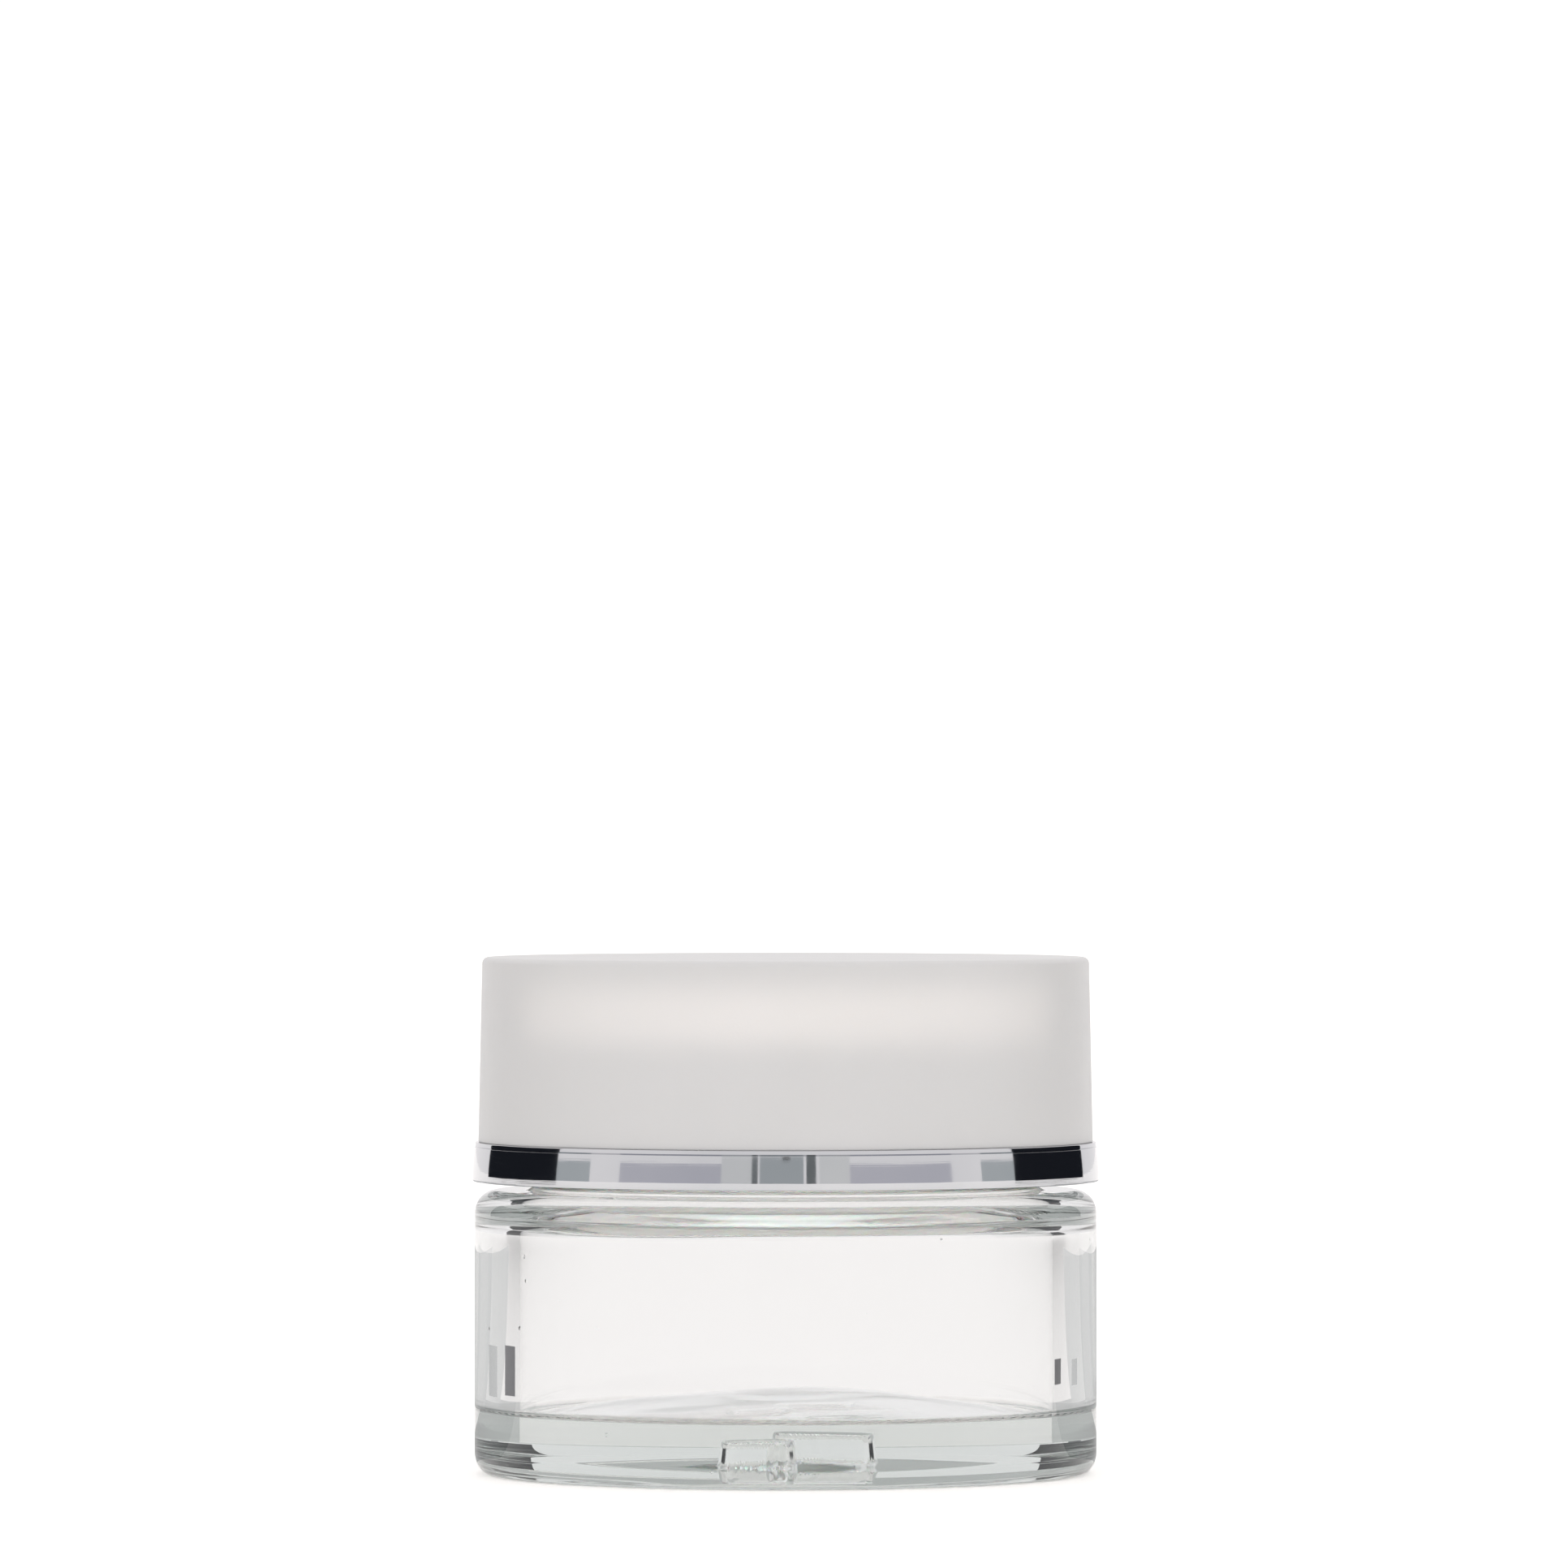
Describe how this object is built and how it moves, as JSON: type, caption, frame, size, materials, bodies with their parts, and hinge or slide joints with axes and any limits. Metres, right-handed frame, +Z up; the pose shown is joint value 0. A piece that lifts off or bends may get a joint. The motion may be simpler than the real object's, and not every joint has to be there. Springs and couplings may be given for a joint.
{
  "type": "cosmetic cream jar",
  "caption": "Round clear glass cream jar with a heavy base, a white screw cap with a bright trim ring, a foam liner and a lift-out sealing disc.",
  "frame": {"origin": "centre of the base, on the surface that the jar stands on", "axes": "+Z up, along the axis of the jar and its cap; the front is towards -Y"},
  "size_m": [0.0504, 0.0504, 0.0415],
  "materials": {
    "jar_glass": "clear flint glass, faintly green where it is thick",
    "disc_plastic": "natural polyethylene, slightly translucent",
    "liner_foam": "closed-cell polyethylene foam",
    "inner_plastic": "plain moulded polypropylene",
    "cap_plastic": "white, satin, finely textured",
    "bright_trim": "mirror-bright metallised plastic"
  },
  "bodies": {
    "jar": {"glass_jar": "jar_glass"},
    "liner": {"foam_liner": "liner_foam"},
    "cap": {"inner_cap": "inner_plastic", "outer_cap": "cap_plastic", "trim_ring": "bright_trim"},
    "disc": {"sealing_disc": "disc_plastic"}
  },
  "joints": [
    {"name": "cap_rise", "type": "slide", "parent": "jar", "child": "liner", "axis": [0, 0, 1], "range_m": [0, 0.024]},
    {"name": "cap_turn", "type": "hinge", "parent": "liner", "child": "cap", "pos_m": [0, 0, 0.0235], "axis": [0, 0, 1], "range_deg": [0, 2040]},
    {"name": "disc_lift", "type": "slide", "parent": "jar", "child": "disc", "axis": [0, 0, 1], "range_m": [0, 0.008]}
  ],
  "couplings": [
    {"joint": "cap_rise", "follows": "cap_turn", "m_per_rad": 0.00067322},
    {"joint": "disc_lift", "follows": "cap_turn", "m_per_rad": 0.00022441}
  ]
}
